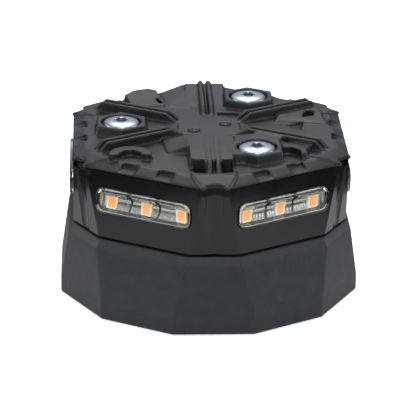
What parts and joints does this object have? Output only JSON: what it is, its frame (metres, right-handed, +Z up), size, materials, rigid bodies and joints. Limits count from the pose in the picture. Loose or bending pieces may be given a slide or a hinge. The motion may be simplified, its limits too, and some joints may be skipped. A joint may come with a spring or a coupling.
{
  "type": "led safety flare",
  "caption": "Hexagonal amber LED road flare: a screwed lamp head with a lit window in every side, seated in a faceted rubber magnetic holder it lifts out of.",
  "frame": {"origin": "centre of the flat underside of the holder, where it rests", "axes": "+Z up; -Y towards the front corner of the head; +X towards a lit side"},
  "size_m": [0.1098, 0.1116, 0.0625],
  "materials": {
    "holder_rubber": "matt, fine grained, moulded",
    "pad_rubber": "matt, moulded, finely ribbed",
    "tray_plastic": "moulded, as moulded",
    "magnet_nickel": "nickel plated, bright",
    "housing_plastic": "moulded, glossy black",
    "tread_plastic": "moulded, semi-matt black with a fine spark texture",
    "button_plastic": "moulded, semi-matt black",
    "lens_clear": "clear polycarbonate, polished",
    "board_white": "circuit board with white solder mask",
    "board_green": "circuit board with green solder mask",
    "emitter_amber": "white moulded package with an amber window",
    "screw_steel": "turned and zinc plated",
    "insert_brass": "turned",
    "contact_brass": "turned and gold plated",
    "chip_black": "moulded",
    "module_shield": "pressed tinned sheet",
    "seal_rubber": "moulded silicone and foam",
    "battery_wrap": "heat-shrunk film"
  },
  "bodies": {
    "holder": {"holder_shell": "holder_rubber", "foot_pad": "pad_rubber", "magnet_tray": "tray_plastic", "magnet_1": "magnet_nickel", "magnet_2": "magnet_nickel", "magnet_3": "magnet_nickel"},
    "lamp_head": {"lamp_housing": "housing_plastic", "bottom_cover": "housing_plastic", "tread_cover": "tread_plastic", "lens_1": "lens_clear", "lens_2": "lens_clear", "lens_3": "lens_clear", "lens_4": "lens_clear", "lens_5": "lens_clear", "lens_6": "lens_clear", "light_strip_1": "board_white", "light_strip_2": "board_white", "light_strip_3": "board_white", "light_strip_4": "board_white", "light_strip_5": "board_white", "light_strip_6": "board_white", "main_board": "board_green", "emitter_1a": "emitter_amber", "emitter_1b": "emitter_amber", "emitter_1c": "emitter_amber", "emitter_2a": "emitter_amber", "emitter_2b": "emitter_amber", "emitter_2c": "emitter_amber", "emitter_3a": "emitter_amber", "emitter_3b": "emitter_amber", "emitter_3c": "emitter_amber", "emitter_4a": "emitter_amber", "emitter_4b": "emitter_amber", "emitter_4c": "emitter_amber", "emitter_5a": "emitter_amber", "emitter_5b": "emitter_amber", "emitter_5c": "emitter_amber", "emitter_6a": "emitter_amber", "emitter_6b": "emitter_amber", "emitter_6c": "emitter_amber", "screw_1": "screw_steel", "screw_2": "screw_steel", "screw_3": "screw_steel", "insert_1": "insert_brass", "insert_2": "insert_brass", "insert_3": "insert_brass", "charge_contact_1": "contact_brass", "charge_contact_2": "contact_brass", "controller_chip": "chip_black", "power_switch": "chip_black", "mode_switch": "chip_black", "radio_module": "module_shield", "top_seal": "seal_rubber", "bottom_seal": "seal_rubber", "grip_ring": "seal_rubber", "battery_foam": "seal_rubber", "battery_pack": "battery_wrap"},
    "power_button": {"power_button": "button_plastic"},
    "mode_button": {"mode_button": "button_plastic"}
  },
  "joints": [
    {"name": "head_lift", "type": "slide", "parent": "holder", "child": "lamp_head", "axis": [0, 0, 1], "range_m": [0, 0.035]},
    {"name": "power_press", "type": "slide", "parent": "lamp_head", "child": "power_button", "axis": [0, 0, -1], "range_m": [0, 0.0006], "stiffness_N_per_m": 3300},
    {"name": "mode_press", "type": "slide", "parent": "lamp_head", "child": "mode_button", "axis": [0, 0, -1], "range_m": [0, 0.0006], "stiffness_N_per_m": 3300}
  ]
}
